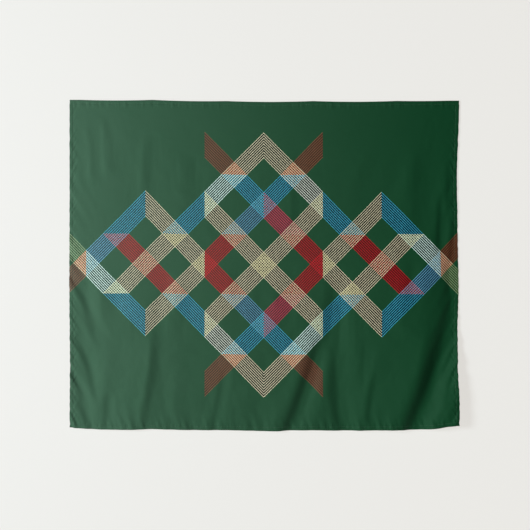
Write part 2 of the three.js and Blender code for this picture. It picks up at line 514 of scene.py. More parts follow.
# %% How far the cloth stands off the wall, and its small waves
BOTTOM_STAND_OFF = 12 * MM
CURL_STAND_OFF = 35 * MM
CURL_START_ACROSS, CURL_START_DOWN = 0.28, 0.25
CLOSEST_TO_WALL = 2.4 * MM  # for the front face, so that a hem behind it still clears the wall
GATHER_AT_BOTTOM, GATHER_AT_SIDES = 1.4 * MM, 1.8 * MM  # heights of the broad waves at the edges
PUCKER_AT_BOTTOM, PUCKER_AT_SIDES = 1.0 * MM, 0.8 * MM  # and of the short ones at the seams
CRUMPLE_HEIGHT = 1.2 * MM
SCALLOP = 0.45 * MM  # how far the side edges waver with the puckers
bottom_pucker = ripple(3, 17 * MM, 60 * MM, 9)
bottom_gather = ripple(4, 36 * MM, 140 * MM)
side_pucker = ripple(5, 26 * MM, 90 * MM, 9)
side_gather = ripple(6, 44 * MM, 130 * MM)
crumple = ripple(9, 60 * MM, 190 * MM)
unevenness = ripple(10, 300 * MM, 900 * MM)
print("lower edge stands off by", round(BOTTOM_STAND_OFF / MM), "mm, and a corner by more")


# %% The top edge
def top_drop(across):
    """How far the top edge is below its highest point: a shallow curve between two strips."""
    spread = np.interp(across, hang_at, hang_drop)
    after = np.clip(np.searchsorted(hang_at, across), 1, len(hang_at) - 1)
    span = hang_at[after] - hang_at[after - 1]
    share = np.clip((across - hang_at[after - 1]) / span, 0, 1)
    return spread + SAG_PER_SQUARE * span**2 * 4 * share * (1 - share)


print("lowest point of the top edge, in mm:", round(top_drop(hang_at).max() / MM, 1))

# %% Reading the simulated movement back
SETTLE_CELL = 12 * MM  # the grid that the cloth is simulated on
settled = None  # how far the simulation moved each point of that grid


def spline(share):
    """The four weights of a smooth cubic curve, for a place a share of the way along a cell."""
    return (
        (1 - share) ** 3 / 6,
        (3 * share**3 - 6 * share**2 + 4) / 6,
        (-3 * share**3 + 3 * share**2 + 3 * share + 1) / 6,
        share**3 / 6,
    )


def settling(across, down):
    """How far the simulation moved the cloth at places on the flat cloth, in metres."""
    if settled is None:
        return 0
    rows, columns, _ = settled.shape
    row, column = down / CLOTH_DROP * (rows - 1), (across / CLOTH_WIDTH + 0.5) * (columns - 1)
    first_row = np.clip(np.floor(row), 0, rows - 2).astype(int)
    first_column = np.clip(np.floor(column), 0, columns - 2).astype(int)
    moved = np.zeros((*np.shape(across), 3))
    for i, by_row in enumerate(spline(row - first_row)):
        for j, by_column in enumerate(spline(column - first_column)):
            at_row = np.clip(first_row + i - 1, 0, rows - 1)
            at_column = np.clip(first_column + j - 1, 0, columns - 1)
            moved += (by_row * by_column)[..., None] * settled[at_row, at_column]
    return moved


print("weights half way along a cell", [round(weight, 3) for weight in spline(0.5)])


# %% Side edges and lower corners
def bump_at(value, place, width):
    """A smooth hump of height 1, in mm."""
    return np.exp(-(((value - place) / width) ** 2))


def drawn_in(across, down):
    """How far the side edges wander from straight, in metres, most at the edge itself."""
    v = down / MM
    left = 2.2 * bump_at(v, 1005, 140) - 0.5 * bump_at(v, 670, 180)
    right = -9 * bump_at(v, 290, 180) - 4 * bump_at(v, 540, 150) - 8 * bump_at(v, 905, 125)
    right = right - 11 * bump_at(v, 1070, 100) - 7 * step(1080, 1250, v)
    toward = across / HALF_WIDTH
    return (left * np.clip(-toward, 0, 1) ** 3 + right * np.clip(toward, 0, 1) ** 3) * MM


def lifted(across, down):
    """How far the loose lower corners are drawn up, in metres."""
    from_left, from_right = (across + HALF_WIDTH) / MM, (HALF_WIDTH - across) / MM
    low = step(0.72, 1, down / CLOTH_DROP)
    left_corner = 7 * np.exp(-from_left / 40)
    right_corner = 22 * np.exp(-((np.maximum(from_right, 0) / 105) ** 1.6))
    right_corner = right_corner + 2.6 * bump_at(from_right, 320, 110)
    return (left_corner + right_corner) * low * MM


print("right corner is drawn up by", round(float(lifted(HALF_WIDTH, CLOTH_DROP)) / MM, 1), "mm")


# %% The hanging cloth
def hem_relief(to_side, to_top, to_bottom):
    """A hem is a soft welt on the front, with a groove where its seam pulls the layers together."""
    inset = np.minimum(np.minimum(to_side, to_top), to_bottom) / MM
    seam = SEAM_LINE / MM
    welt = 0.35 * np.sin(np.pi * np.clip(inset / seam, 0, 1))
    return (welt - 0.45 * bump_at(inset, seam, 1.8)) * MM


def hang(across, down):
    """Points of the hanging cloth's front face, from places on the flat cloth."""
    across, down = np.broadcast_arrays(across, down)
    to_side = HALF_WIDTH - abs(across)
    to_bottom = CLOTH_DROP - down
    share = down / CLOTH_DROP
    body = step(HEM_WIDTH, 0.2 * CLOTH_DROP, down)
    curl = step(CURL_START_ACROSS, 1, across / HALF_WIDTH) * step(CURL_START_DOWN, 1, share)
    stand = BOTTOM_STAND_OFF * step(0, CLOTH_DROP, down) + CURL_STAND_OFF * curl
    free = step(0, 0.12, down)
    lower = 0.35 + 0.65 * step(0.1, 0.7, share)
    by_bottom, by_side = np.exp(-to_bottom / (50 * MM)), np.exp(-to_side / (36 * MM))
    slanting = down - 1.7 * to_side
    relief = fold_relief(across, down)
    relief = relief + GATHER_AT_BOTTOM * bottom_gather(across + 0.25 * to_bottom) * by_bottom
    relief = relief + GATHER_AT_SIDES * lower * side_gather(slanting) * by_side
    relief = relief + CRUMPLE_HEIGHT * crumple(across + 0.16 * down) * unevenness(down)
    forward = np.maximum(body * stand + free * relief, -0.8 * MM)
    forward = forward + hem_relief(to_side, down, to_bottom)
    near_bottom, near_side = bump_at(to_bottom / MM, 20, 22), bump_at(to_side / MM, 12, 20)
    forward = forward + PUCKER_AT_BOTTOM * bottom_pucker(across + 0.3 * to_bottom) * near_bottom
    forward = forward + PUCKER_AT_SIDES * free * lower * side_pucker(slanting) * near_side
    scallop = SCALLOP * side_pucker(down) * np.exp(-to_side / (10 * MM)) * np.sign(across)
    x = across * (1 - TAKE_UP) + drawn_in(across, down) + scallop
    z = -down * (1 - DROP_TAKE_UP) - top_drop(across) + lifted(across, down)
    points = np.stack([x, cloth_front - forward, z], axis=-1) + settling(across, down)
    points[..., 1] = np.minimum(points[..., 1], -CLOSEST_TO_WALL)
    return points


middle = hang(np.array(0.0), np.array(CLOTH_DROP / 2))
print("middle of the cloth", middle.round(4))

# %% [markdown]
# The rule above gives the folds but not the small give of real cloth under its own weight. So a
# coarse copy of the sheet is simulated: it starts in that shape, is pinned where the six strips
# hold it, and settles against the wall for a second. Only the distance that each point moved is
# kept, with a limit, and it is added to every point of the fine cloth through a smooth spline.


# %% Settling the cloth
SETTLE_FRAMES = 24
SETTLE_LIMIT = 5 * MM
PIN_REACH = 34 * MM


def grid_faces(rows, columns, start=0):
    """Quads of a grid of points, wound so that they face the room."""
    row, column = np.meshgrid(np.arange(rows - 1), np.arange(columns - 1), indexing="ij")
    corner = (start + row * columns + column).ravel()
    return np.stack([corner, corner + columns, corner + columns + 1, corner + 1], axis=1)


def add_mesh(name, points, faces, materials=(), face_slots=None, flat=None, smooth=True):
    """A mesh object. flat gives each point's place on the flat cloth, for the UV map."""
    mesh = bpy.data.meshes.new(name)
    faces = [tuple(map(int, face)) for face in faces]
    mesh.from_pydata(np.asarray(points).reshape(-1, 3).tolist(), [], faces)
    for material in materials:
        mesh.materials.append(material)
    if face_slots is not None:
        mesh.polygons.foreach_set("material_index", np.asarray(face_slots, np.int32))
    if flat is not None:
        corners = np.empty(len(mesh.loops), np.int32)
        mesh.loops.foreach_get("vertex_index", corners)
        places = np.asarray(flat).reshape(-1, 2)[corners].astype(np.float32)
        mesh.uv_layers.new(name="flat_cloth").data.foreach_set("uv", places.ravel())
    mesh.polygons.foreach_set("use_smooth", [smooth] * len(mesh.polygons))
    mesh.update()
    return put(name, mesh)


def settle_cloth():
    """Simulate the coarse sheet and give how far each of its points moved, as a grid."""
    columns, rows = round(CLOTH_WIDTH / SETTLE_CELL) + 1, round(CLOTH_DROP / SETTLE_CELL) + 1
    a, d = np.meshgrid(np.linspace(-HALF_WIDTH, HALF_WIDTH, columns), np.linspace(0, CLOTH_DROP, rows))
    start = hang(a, d)
    sheet = add_mesh("settling_sheet", start, grid_faces(rows, columns))
    to_strip = np.abs(a[..., None] - hang_at).min(-1)
    held = ((to_strip < PIN_REACH) & (d < HEM_WIDTH + 2 * MM)).ravel()
    group = sheet.vertex_groups.new(name="held_by_strips")
    group.add(np.flatnonzero(held).tolist(), 1.0, "REPLACE")
    corners = [(-1, 0, -2), (1, 0, -2), (1, 0, 0.2), (-1, 0, 0.2)]
    barrier = add_mesh("barrier", corners, [(0, 1, 2, 3)])
    barrier.modifiers.new("wall", "COLLISION")
    barrier.collision.thickness_outer = 1 * MM
    cloth = sheet.modifiers.new("drape", "CLOTH")
    cloth.settings.quality = 5
    cloth.settings.mass = 0.002
    cloth.settings.tension_stiffness = cloth.settings.compression_stiffness = 60
    cloth.settings.shear_stiffness = 20
    cloth.settings.bending_stiffness = 0.02
    cloth.settings.air_damping = 4
    cloth.settings.vertex_group_mass = group.name
    cloth.collision_settings.distance_min = 1 * MM
    cloth.collision_settings.use_self_collision = False
    cloth.point_cache.frame_end = SETTLE_FRAMES
    for frame_number in range(1, SETTLE_FRAMES + 1):
        scene.frame_set(frame_number)
    shape = sheet.evaluated_get(bpy.context.evaluated_depsgraph_get()).data
    ends = np.empty(len(shape.vertices) * 3, np.float32)
    shape.vertices.foreach_get("co", ends)
    moved = ends.reshape(start.shape).astype(float) - start
    far = np.linalg.norm(moved, axis=-1, keepdims=True)
    print("settling, in mm: at most", round(far.max() / MM, 2), "mean", round(far.mean() / MM, 2))
    scene.frame_set(1)
    bpy.data.objects.remove(sheet)
    bpy.data.objects.remove(barrier)
    return moved * np.minimum(1, SETTLE_LIMIT / np.maximum(far, 1e-9))


settled = settle_cloth()

# %% [markdown]
# A cloth piece is a closed thin sheet: a grid of points on the front, the same grid moved back by
# the cloth's thickness, and a rim that joins them. Its UV map holds the place on the flat cloth
# in metres, so the print and the weave bend with the folds. The grid lines are close together at
# the hems, where the puckers are small, and further apart in the middle.


# %% Grid lines
FINE_PLACES = np.array((0, 1.5, 4, 7, 10, 12, 13.5, 15, 17, 20, 24, 29, 35)) * MM
COARSE_CELL = 7 * MM


def fine_to_coarse(length):
    """Places from 0 to length, fine near both ends, in metres."""
    edge = FINE_PLACES
    count = round((length - 2 * edge[-1]) / COARSE_CELL)
    inner = np.linspace(edge[-1], length - edge[-1], count + 1)[1:-1]
    return np.concatenate([edge, inner, length - edge[::-1]])


across_lines = fine_to_coarse(CLOTH_WIDTH) - HALF_WIDTH
down_lines = fine_to_coarse(CLOTH_DROP)
print("grid lines across and down:", len(across_lines), len(down_lines))


# %% Thin sheets
def facing(across, down, reach=1 * MM):
    """The unit direction that the cloth's front faces."""
    sideways = hang(across + reach, down) - hang(across - reach, down)
    downwards = hang(across, down + reach) - hang(across, down - reach)
    normal = np.cross(downwards, sideways)
    return normal / np.linalg.norm(normal, axis=-1, keepdims=True)


def behind(across, down, depth):
    """Points a depth behind the cloth's front face. A negative depth is in front of it."""
    across, down = np.broadcast_arrays(across, down)
    return hang(across, down) - facing(across, down) * np.asarray(depth)[..., None]


def thin_sheet(name, near, far, flat, materials):
    """A closed sheet between two grids of points. Its back wears the last material."""
    rows, columns = near.shape[:2]
    count = rows * columns
    front = grid_faces(rows, columns)
    back = grid_faces(rows, columns, count)[:, [0, 3, 2, 1]]  # split along the front's diagonals
    index = np.arange(count).reshape(rows, columns)
    rim = np.concatenate([index[:-1, 0], index[-1, :-1], index[:0:-1, -1], index[0, :0:-1]])
    following = np.roll(rim, -1)
    edge = np.stack([following, rim, rim + count, following + count], axis=1)
    slots = np.repeat([0, len(materials) - 1, 0], [len(front), len(back), len(edge)])
    faces = np.concatenate([front, back, edge])
    return add_mesh(name, [near, far], faces, materials, slots, [flat, flat])


print("middle of the lower edge", behind(0.0, CLOTH_DROP, 0).round(4))

# %% The printed panel
grid_a, grid_d = np.meshgrid(across_lines, down_lines)
panel = thin_sheet(
    "printed_panel",
    behind(grid_a, grid_d, 0),
    behind(grid_a, grid_d, CLOTH_THICKNESS),
    np.stack([grid_a, CLOTH_DROP / 2 - grid_d], axis=-1),
    [front_cloth, back_cloth],
)
print("panel", len(panel.data.polygons), "faces")

# %% [markdown]
# A hem is the panel's own edge, turned to the back twice. What shows is a round fold along the
# edge, two more layers behind the cloth, and the seam that pulls them thin. It is one section
# carried along the edge. The turned cloth shows its printed side, so on the back of a hem the
# print runs on outwards from the edge, and the UV map says so.

# %% Hems
HEM_SECTION = (  # (in from the edge, behind the front face) in mm, once round
    (1.3, -0.06), (0.3, -0.05), (-0.25, 0.08), (-0.6, 0.42), (-0.66, 0.8), (-0.4, 1.25),
    (0.3, 1.56), (1.5, 1.61), (4.0, 1.62), (7.0, 1.6), (10.0, 1.56), (12.4, 1.5), (13.5, 1.18),
    (14.3, 1.46), (15.0, 1.36), (15.15, 0.95), (14.9, 0.47), (13.5, 0.46), (12.0, 0.46),
    (10.0, 0.46), (7.0, 0.46), (4.0, 0.46), (1.5, 0.46), (0.1, 0.46), (-0.08, 0.2), (0.3, -0.01),
)  # fmt: skip


def hem_mesh(side, along):
    """The turned cloth along one side. along holds the places that the section is put at."""
    inward = np.array([place for place, _ in HEM_SECTION]) * MM
    depth = np.array([place for _, place in HEM_SECTION]) * MM
    s, t = np.meshgrid(inward, along)
    sign = -1 if side in ("right", "bottom") else 1
    edge = {"top": 0, "bottom": CLOTH_DROP, "left": -HALF_WIDTH, "right": HALF_WIDTH}[side]
    lengthwise = side in ("top", "bottom")
    place = edge + sign * np.maximum(s, 0)
    a, d = (t, place) if lengthwise else (place, t)
    points = behind(a, d, depth)
    outward = np.array([0, 0, sign]) if lengthwise else np.array([-sign, 0, 0])
    points = points + np.maximum(-s, 0)[..., None] * outward
    printed = edge + sign * np.where(depth > CLOTH_THICKNESS, -s, s)
    flat_a, flat_d = (t, printed) if lengthwise else (printed, t)
    flat = np.stack([flat_a, CLOTH_DROP / 2 - flat_d], axis=-1)
    rows, columns = s.shape
    first = np.arange(columns)
    last = (rows - 1) * columns + first
    corner = np.arange(rows - 1)[:, None] * columns + first
    beside = np.arange(rows - 1)[:, None] * columns + (first + 1) % columns
    faces = np.stack([corner, beside, beside + columns, corner + columns], axis=-1).reshape(-1, 4)
    flip = lengthwise == (sign > 0)
    faces = [face[::-1] if flip else face for face in faces]
    caps = [first[::-1], last] if not flip else [first, last[::-1]]
    return add_mesh(f"turned_hem_{side}", points, [*faces, *caps], [front_cloth], flat=flat)


SIDE_HEM_START, SIDE_HEM_END = HEM_WIDTH + 0.1 * MM, CLOTH_DROP - HEM_WIDTH - 0.1 * MM
inner_down = down_lines[(down_lines > HEM_WIDTH) & (down_lines < CLOTH_DROP - HEM_WIDTH)]
inner_down = np.concatenate([[SIDE_HEM_START], inner_down, [SIDE_HEM_END]])
hems = {side: hem_mesh(side, across_lines) for side in ("top", "bottom")}
hems |= {side: hem_mesh(side, inner_down) for side in ("left", "right")}
for hem in hems.values():
    print(hem.name, len(hem.data.polygons), "faces")

# %% [markdown]
# Each hem is sewn with one row of lockstitch. The needle thread shows on the front and the bobbin
# thread on the back, as a line of short dashes that sink into the seam. A dash is the same every
# time, so Geometry Nodes set it along the seam: the path becomes a curve, the curve is cut into
# equal steps, and a small rounded dash is turned to each step. The path carries the cloth's
# facing direction, so every dash lies flat on the cloth, wherever a fold turns it.

# %% Geometry Nodes helpers
THREAD_WIDTH = 0.8 * MM
THREAD_THICKNESS = 0.4 * MM
STITCH_PITCH, STITCH_LENGTH = 3.4 * MM, 3.0 * MM


class Pattern(Nodes):
    """A Geometry Nodes tree with named inputs, used once and turned into a plain mesh."""

    KINDS = {float: "Float", int: "Int", bpy.types.Material: "Material"}

    def __init__(self, name, **inputs):
        self.tree = bpy.data.node_groups.new(name, "GeometryNodeTree")
        self.add_socket("Geometry", "INPUT", "Geometry")
        self.add_socket("Geometry", "OUTPUT", "Geometry")
        self.inputs = inputs
        self.sockets = {
            key: self.add_socket(key, "INPUT", self.KINDS[type(value)]) for key, value in inputs.items()
        }
        self.start = self.tree.nodes.new("NodeGroupInput")

    def add_socket(self, name, side, kind):
        made = self.tree.interface.new_socket(name, in_out=side, socket_type="NodeSocket" + kind)
        return made.identifier

    def given(self, name):
        return self.start.outputs[name]

    @staticmethod
    def live(sockets, name):
        """The socket in use, where a node has several with one name."""
        return next(socket for socket in sockets if socket.name == name and socket.enabled)

    def out(self, geometry):
        """Realize the instances, give them their material and end the tree."""
        real = self.node("GeometryNodeRealizeInstances", Geometry=geometry)
        finish = self.given("Finish")
        dressed = self.node("GeometryNodeSetMaterial", Geometry=real.outputs[0], Material=finish)
        smooth = self.node("GeometryNodeSetShadeSmooth", Geometry=dressed.outputs[0])
        self.node("NodeGroupOutput", Geometry=smooth.outputs[0])
        return self

    def grow(self, name, seed_object, **changes):
        """Run the tree on an object and give the result as a new object with a plain mesh."""
        modifier = seed_object.modifiers.new(self.tree.name, "NODES")
        modifier.node_group = self.tree
        for key, value in (self.inputs | changes).items():
            modifier[self.sockets[key]] = value
        depsgraph = bpy.context.evaluated_depsgraph_get()
        mesh = bpy.data.meshes.new_from_object(seed_object.evaluated_get(depsgraph))
        seed_object.modifiers.remove(modifier)
        bpy.data.objects.remove(seed_object)
        mesh.name = name
        return put(name, mesh)


print("stitches in a metre of seam:", round(1 / STITCH_PITCH))

# %% Sewing thread and the tree for a row of stitches
thread = Recipe("sewing_thread")
fibre_height = thread.noise(900.0, 2.0)
sewing_thread = thread.set(
    Base_Color=thread.mix(fibre_height, dye(12, 44, 26), dye(40, 84, 58)),
    Roughness=fibre_height * 0.2 + 0.4,
    Normal=thread.bump(fibre_height, 0.05 * MM),
    Sheen_Weight=0.15,
)

row = Pattern(
    "row_of_stitches",
    Pitch=STITCH_PITCH,
    Length=STITCH_LENGTH,
    Width=THREAD_WIDTH,
    Thickness=THREAD_THICKNESS,
    Finish=sewing_thread,
)
path = row.node("GeometryNodeMeshToCurve", Mesh=row.start.outputs[0])
steps = row.node("GeometryNodeResampleCurve", {"mode": "LENGTH"}, Curve=path.outputs[0])
row.feed(steps.inputs["Length"], row.given("Pitch"))
ball = row.node("GeometryNodeMeshUVSphere", Segments=6, Rings=4, Radius=0.5)
size = row.node("ShaderNodeCombineXYZ")
for axis, name in zip("XYZ", ("Length", "Width", "Thickness")):
    row.feed(size.inputs[axis], row.given(name))
dash = row.node("GeometryNodeTransform", Geometry=ball.outputs[0], Scale=size.outputs[0])
tangent = row.node("GeometryNodeInputTangent")
vectors = {"data_type": "FLOAT_VECTOR"}
facing_out = row.node("GeometryNodeInputNamedAttribute", vectors, Name="facing")
along_seam = row.node("FunctionNodeAlignRotationToVector", {"axis": "X"}, Vector=tangent.outputs[0])
flat_on = row.node(
    "FunctionNodeAlignRotationToVector",
    {"axis": "Z", "pivot_axis": "X"},
    Rotation=along_seam.outputs[0],
    Vector=facing_out.outputs[0],
)
stitches = row.node(
    "GeometryNodeInstanceOnPoints",
    Points=steps.outputs[0],
    Instance=dash.outputs[0],
    Rotation=flat_on.outputs[0],
)
row.out(stitches.outputs[0])
print("nodes in the row's tree:", len(row.tree.nodes))


# %% Rows of stitches along the seams
def seam_path(across, down, depth):
    """A seed object: the seam as a line of points, each with the cloth's facing direction."""
    across, down = np.broadcast_arrays(across, down)
    points = behind(across, down, depth)
    mesh = bpy.data.meshes.new("seam_path")
    mesh.from_pydata(points.tolist(), [(i, i + 1) for i in range(len(points) - 1)], [])
    directions = facing(across, down).astype(np.float32)
    outward = mesh.attributes.new("facing", "FLOAT_VECTOR", "POINT")
    outward.data.foreach_set("vector", directions.ravel())
    return put("seam_path", mesh)


NEEDLE_DEPTH, BOBBIN_DEPTH = -0.12 * MM, 1.24 * MM  # behind the cloth's front face
SEAM_ENDS = HEM_WIDTH + 0.4 * MM
seam_across = np.linspace(-HALF_WIDTH + SEAM_ENDS, HALF_WIDTH - SEAM_ENDS, 420)
seam_down = np.linspace(HEM_WIDTH + 2 * MM, CLOTH_DROP - HEM_WIDTH - 2 * MM, 360)
seams = {
    "top": (seam_across, SEAM_LINE),
    "bottom": (seam_across, CLOTH_DROP - SEAM_LINE),
    "left": (-HALF_WIDTH + SEAM_LINE, seam_down),
    "right": (HALF_WIDTH - SEAM_LINE, seam_down),
}
needle_rows, bobbin_rows = {}, {}
for side, (a, d) in seams.items():
    needle_rows[side] = row.grow(f"needle_stitches_{side}", seam_path(a, d, NEEDLE_DEPTH))
    bobbin_rows[side] = row.grow(f"bobbin_stitches_{side}", seam_path(a, d, BOBBIN_DEPTH))
print("stitches in the top row:", len(needle_rows["top"].data.vertices) // 20)

# %% [markdown]
# A care label is a short satin ribbon whose end is caught at the hem. It is left blank here, and
# its two sealed edges curl a little. A ribbon is one smooth strip, so it is a small grid with a
# gentle wave, closed to a thin sheet like the cloth.

# %% The label's satin and its curl
LABEL_LENGTH, LABEL_HEIGHT = 46 * MM, 26 * MM
LABEL_ON_HEM = 5 * MM
LABEL_ABOVE_HEM = 110 * MM
LABEL_DEPTH, LABEL_THICKNESS = 2.2 * MM, 0.25 * MM

satin = Recipe("label_satin")
ribbon_across, ribbon_up, _ = satin.flat_place()
ribs = (ribbon_up * (2 * math.pi / (0.5 * MM))).math("SINE")
floats = (ribbon_across * (2 * math.pi / (0.7 * MM))).math("SINE")
label_satin = satin.set(
    Base_Color=satin.mix(floats * 0.5 + 0.5, dye(232, 230, 224), dye(218, 216, 210)),
    Roughness=0.34 + ribs * 0.04,
    Anisotropic=0.5,
    Sheen_Weight=0.2,
    Normal=satin.bump(ribs * 0.7 + floats * 0.3, 0.03 * MM),
)
label_start = -HALF_WIDTH + HEM_WIDTH - LABEL_ON_HEM
label_low = CLOTH_DROP - HEM_WIDTH - LABEL_ABOVE_HEM
label_a, label_d = np.meshgrid(
    np.linspace(label_start, label_start + LABEL_LENGTH, 47),
    np.linspace(label_low - LABEL_HEIGHT, label_low, 27),
)
free_share = (label_a - label_start) / LABEL_LENGTH
edge_share = abs(label_d - label_low + LABEL_HEIGHT / 2) / (LABEL_HEIGHT / 2)
curl_back = 1.5 * MM * free_share**2 + 0.5 * MM * edge_share**4 * free_share
wave = 0.4 * MM * np.sin(free_share * 9) * free_share
print("label curls back by", round(curl_back.max() / MM, 1), "mm")


# %% Care label
def ribbon_points(extra):
    """The label's points. It hangs from the hem, a little further back than the cloth."""
    return behind(label_a, label_d, LABEL_DEPTH + curl_back + wave + extra)


label = thin_sheet(
    "care_label_ribbon",
    ribbon_points(0),
    ribbon_points(LABEL_THICKNESS),
    np.stack([label_a, -label_d], axis=-1),
    [label_satin],
)
label_line = np.linspace(label_low - LABEL_HEIGHT + 2 * MM, label_low - 2 * MM, 30)
label_seam = seam_path(label_start + 2.4 * MM, label_line, LABEL_DEPTH + 0.4 * MM)
label_stitches = row.grow("label_stitches", label_seam, Pitch=2.6 * MM, Length=2.2 * MM)
print("label", len(label.data.polygons), "faces")

# %% [markdown]
# Six short strips of hook and loop tape hold the cloth up. Each has a foam pad that sticks to the
# wall, a woven tape with rows of nylon hooks on it, and the soft loop tape behind the hem. Hooks
# and loops are the same small arc of wire, turned and swept differently, so one tree grows both
# from a field of points: open arcs in rows for hooks, closed arcs turned at random for loops.

# %% Tape materials
TAPE_BASE = 0.35 * MM
HOOK_SPACING, LOOP_SPACING = 1.3 * MM, 1.0 * MM


def tape_finish(name, light, dark, weave_pitch, roughness):
    """White nylon tape with a fine woven rib."""
    recipe = Recipe(name)
    place = recipe.node("ShaderNodeTexCoord").outputs["Object"]
    split = recipe.node("ShaderNodeSeparateXYZ", Vector=place)
    turns = 2 * math.pi / weave_pitch
    x, z = Value(recipe, split.outputs[0]), Value(recipe, split.outputs[2])
    rib = (x * turns).math("SINE") * (z * turns).math("SINE")
    grain = recipe.noise(400.0, 3.0, Vector=place)
    return recipe.set(
        Base_Color=recipe.mix(grain, light, dark),
        Roughness=roughness + rib * 0.05,
        Normal=recipe.bump(rib + grain, 0.06 * MM),
    )


hook_tape = tape_finish("hook_tape", dye(240, 240, 238), dye(216, 218, 218), 0.5 * MM, 0.42)
loop_tape = tape_finish("loop_tape", dye(238, 237, 233), dye(206, 206, 202), 0.7 * MM, 0.8)

foam = Recipe("adhesive_foam")
foam_place = foam.node("ShaderNodeTexCoord").outputs["Object"]
cells = foam.node("ShaderNodeTexVoronoi", Vector=foam_place, Scale=2600.0)
bubble = Value(foam, cells.outputs["Distance"])
adhesive_foam = foam.set(
    Base_Color=foam.mix(bubble, dye(236, 234, 226), dye(204, 201, 190)),
    Roughness=0.85 - bubble * 0.1,
    Normal=foam.bump(bubble, 0.1 * MM),
)
print("tape finishes ready")

# %% The tree that grows hooks and loops
arc_sizes = {"Radius": 0.3 * MM, "Wire": 0.09 * MM, "Start": -0.4, "Sweep": 4.0, "Turn": 0.1}
pile = Pattern("pile_of_arcs", **arc_sizes, Seed=1, Finish=hook_tape)
arc = pile.node("GeometryNodeCurveArc", {"mode": "RADIUS"}, Resolution=6)
for key, name in (("Radius", "Radius"), ("Start Angle", "Start"), ("Sweep Angle", "Sweep")):
    pile.feed(pile.live(arc.inputs, key), pile.given(name))
profile = pile.node("GeometryNodeCurvePrimitiveCircle", {"mode": "RADIUS"}, Resolution=3)
pile.feed(pile.live(profile.inputs, "Radius"), pile.given("Wire"))
wire = pile.node("GeometryNodeCurveToMesh", Curve=arc.outputs[0], Profile_Curve=profile.outputs[0])
wire.inputs["Fill Caps"].default_value = True
least = pile.node("ShaderNodeMath", {"operation": "MULTIPLY"}, in0=pile.given("Turn"), in1=-1.0)
turn = pile.node("FunctionNodeRandomValue", {"data_type": "FLOAT"}, Seed=pile.given("Seed"))
pile.feed(pile.live(turn.inputs, "Min"), least.outputs[0])
pile.feed(pile.live(turn.inputs, "Max"), pile.given("Turn"))
euler = pile.node("ShaderNodeCombineXYZ", Y=pile.live(turn.outputs, "Value"))
arcs = pile.node(
    "GeometryNodeInstanceOnPoints",
    Points=pile.start.outputs[0],
    Instance=wire.outputs[0],
    Rotation=euler.outputs[0],
)
pile.out(arcs.outputs[0])
print("nodes in the pile's tree:", len(pile.tree.nodes))


# %% Slabs
def rounded_outline(low, high, corner, steps=6):
    """The outline of a rounded rectangle in x and z, counter-clockwise seen from the room."""
    points = []
    for cx, cz, first in (
        (high.x - corner, high.z - corner, 0),
        (low.x + corner, high.z - corner, 1),
        (low.x + corner, low.z + corner, 2),
        (high.x - corner, low.z + corner, 3),
    ):
        for i in range(steps + 1):
            turned = (first + i / steps) * math.pi / 2
            points.append((cx + corner * math.cos(turned), cz + corner * math.sin(turned)))
    return points


def slab(name, low, high, near, far, material, corner=3 * MM, bevel=0.12 * MM):
    """A thin rounded slab between two depths, with its long edges eased."""
    middle_x, middle_z = (low.x + high.x) / 2, (low.z + high.z) / 2
    rings = []
    for y, inset in ((near, bevel), (near + bevel, 0), (far - bevel, 0), (far, bevel)):
        shrink_x = 1 - inset / (high.x - low.x) * 2
        shrink_z = 1 - inset / (high.z - low.z) * 2
        for x, z in rounded_outline(low, high, corner):
            moved_x = middle_x + (x - middle_x) * shrink_x
            rings.append((moved_x, y, middle_z + (z - middle_z) * shrink_z))
    count = len(rings) // 4
    faces = [list(range(count)), [3 * count + i for i in range(count)][::-1]]
    for start in (0, count, 2 * count):
        for i in range(count):
            i, j = start + i, start + (i + 1) % count
            faces.append([j, i, i + count, j + count])
    return add_mesh(name, rings, faces, [material], smooth=False)


# %% Pads, hook strips and loop strips
def field(low, high, y, spacing, margin, jitter, seed):
    """A seed object of loose points inside a strip, in rows, each moved a little by chance."""
    dice = np.random.default_rng(seed)
    x = np.arange(low.x + margin, high.x - margin, spacing)
    z = np.arange(low.z + margin, high.z - margin, spacing)
    grid_x, grid_z = np.meshgrid(x, z)
    shift = dice.uniform(-jitter, jitter, (2, *grid_x.shape))
    points = np.stack([grid_x + shift[0], np.full(grid_x.shape, y), grid_z + shift[1]], axis=-1)
    return add_mesh("points", points, [])


def joined(name, *pieces):
    """Several objects as one."""
    with bpy.context.temp_override(active_object=pieces[0], selected_editable_objects=list(pieces)):
        bpy.ops.object.join()
    pieces[0].name = name
    return pieces[0]


def hook_strip(number):
    low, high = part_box(f"hook_strip_{number}")
    base = slab(f"hook_base_{number}", low, high, high.y - TAPE_BASE, high.y, hook_tape)
    radius = (high.y - TAPE_BASE - low.y) * 0.42
    centres = high.y - TAPE_BASE - radius
    seeds = field(low, high, centres, HOOK_SPACING, HOOK_SPACING, 0.05 * MM, number)
    hooks = pile.grow(f"hooks_{number}", seeds, Radius=radius, Start=0.5, Sweep=-4.3, Seed=number)
    return joined(f"hook_tape_{number}", base, hooks)


def loop_strip(number):
    low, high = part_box(f"loop_strip_{number}")
    base = slab(f"loop_base_{number}", low, high, low.y, low.y + TAPE_BASE, loop_tape)
    radius = (high.y - low.y - TAPE_BASE) * 0.5
    centres = low.y + TAPE_BASE + radius * 0.6
    seeds = field(low, high, centres, LOOP_SPACING, 0.9 * MM, 0.3 * MM, 10 + number)
    arcs = {"Radius": radius, "Wire": 0.06 * MM, "Start": -0.6, "Sweep": 4.4, "Turn": 1.5}
    loops = pile.grow(f"loops_{number}", seeds, **arcs, Seed=number, Finish=loop_tape)
    return joined(f"loop_tape_{number}", base, loops)


